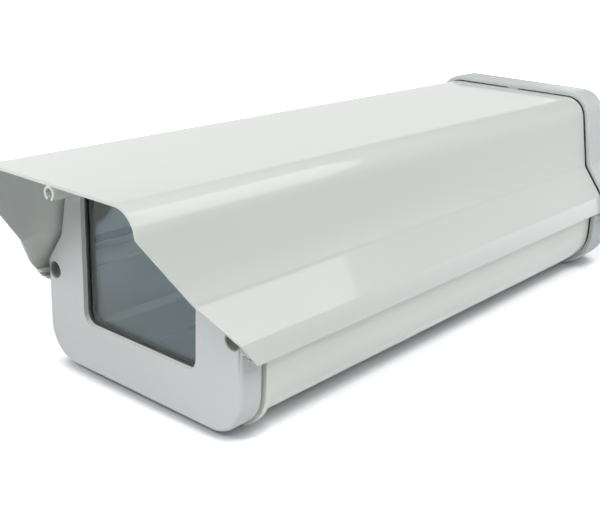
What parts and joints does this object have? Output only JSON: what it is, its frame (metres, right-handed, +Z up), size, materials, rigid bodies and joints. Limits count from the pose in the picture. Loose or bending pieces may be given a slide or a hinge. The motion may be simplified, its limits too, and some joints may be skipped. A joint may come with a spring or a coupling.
{
  "type": "security camera housing",
  "caption": "Outdoor security camera housing: extruded cover with sun visor on a trough body, glazed drawer front with camera tray, rear cap with cable gland.",
  "frame": {"origin": "centre of the bounding box at the level of the surface that the housing stands on", "axes": "+Z up, -Y out of the window, +Y towards the rear cap and its cable gland, +X to the right as seen from the front"},
  "size_m": [0.1562, 0.4222, 0.1161],
  "materials": {
    "cover_paint": "warm off-white gloss powder coat",
    "body_paint": "warm off-white gloss powder coat",
    "bezel_plastic": "fine-grained light grey moulding",
    "cap_plastic": "fine-grained light grey moulding",
    "gasket_rubber": "matt",
    "grey_rubber": "matt grey",
    "window_glass": "clear flat pane",
    "tray_metal": "satin sheet",
    "plate_metal": "zinc plated",
    "screw_steel": "zinc plated",
    "gland_plastic": "grey nylon",
    "spacer_brass": "turned",
    "board_laminate": "green solder mask",
    "terminal_plastic": "moulded",
    "riser_plastic": "black moulded block"
  },
  "bodies": {
    "housing": {"cover": "cover_paint", "lower_body": "body_paint", "side_seal_left": "gasket_rubber", "side_seal_right": "gasket_rubber", "front_frame": "body_paint", "front_frame_screws": "screw_steel", "bracket_plate": "plate_metal", "bracket_plate_screws": "screw_steel", "rear_gasket": "gasket_rubber", "rear_cap": "cap_plastic", "rear_cap_screws": "screw_steel", "cable_gland_body": "gland_plastic", "cable_gland_seal": "gasket_rubber", "cable_gland_nut": "gland_plastic", "cable_gland_washer": "gasket_rubber", "cable_gland_locknut": "gland_plastic", "blanking_plug": "gland_plastic", "blanking_plug_washer": "gasket_rubber", "blanking_plug_locknut": "gland_plastic"},
    "front_drawer": {"front_bezel": "bezel_plastic", "front_gasket": "grey_rubber", "window_gasket": "gasket_rubber", "window_glass": "window_glass", "window_retainer": "tray_metal", "retainer_screws": "screw_steel", "bezel_screws": "screw_steel", "bezel_screw_washers": "screw_steel", "bezel_screw_sleeves": "gasket_rubber", "camera_tray": "tray_metal", "tray_screws": "screw_steel", "board_spacers": "spacer_brass", "wiring_board": "board_laminate", "board_screws": "screw_steel", "terminal_block": "terminal_plastic", "terminal_screws": "screw_steel"},
    "camera_mount": {"camera_riser": "riser_plastic"},
    "camera_clamp": {"camera_screw": "screw_steel", "camera_screw_washer": "screw_steel"}
  },
  "joints": [
    {"name": "front_drawer_slide", "type": "slide", "parent": "housing", "child": "front_drawer", "axis": [0, -1, 0], "range_m": [0, 0.24]},
    {"name": "camera_mount_slide", "type": "slide", "parent": "front_drawer", "child": "camera_mount", "axis": [0, 1, 0], "range_m": [-0.056, 0.086]},
    {"name": "camera_screw_turn", "type": "hinge", "parent": "camera_mount", "child": "camera_clamp", "pos_m": [0, -0.04705, 0.0164], "axis": [0, 0, 1], "continuous": true}
  ]
}
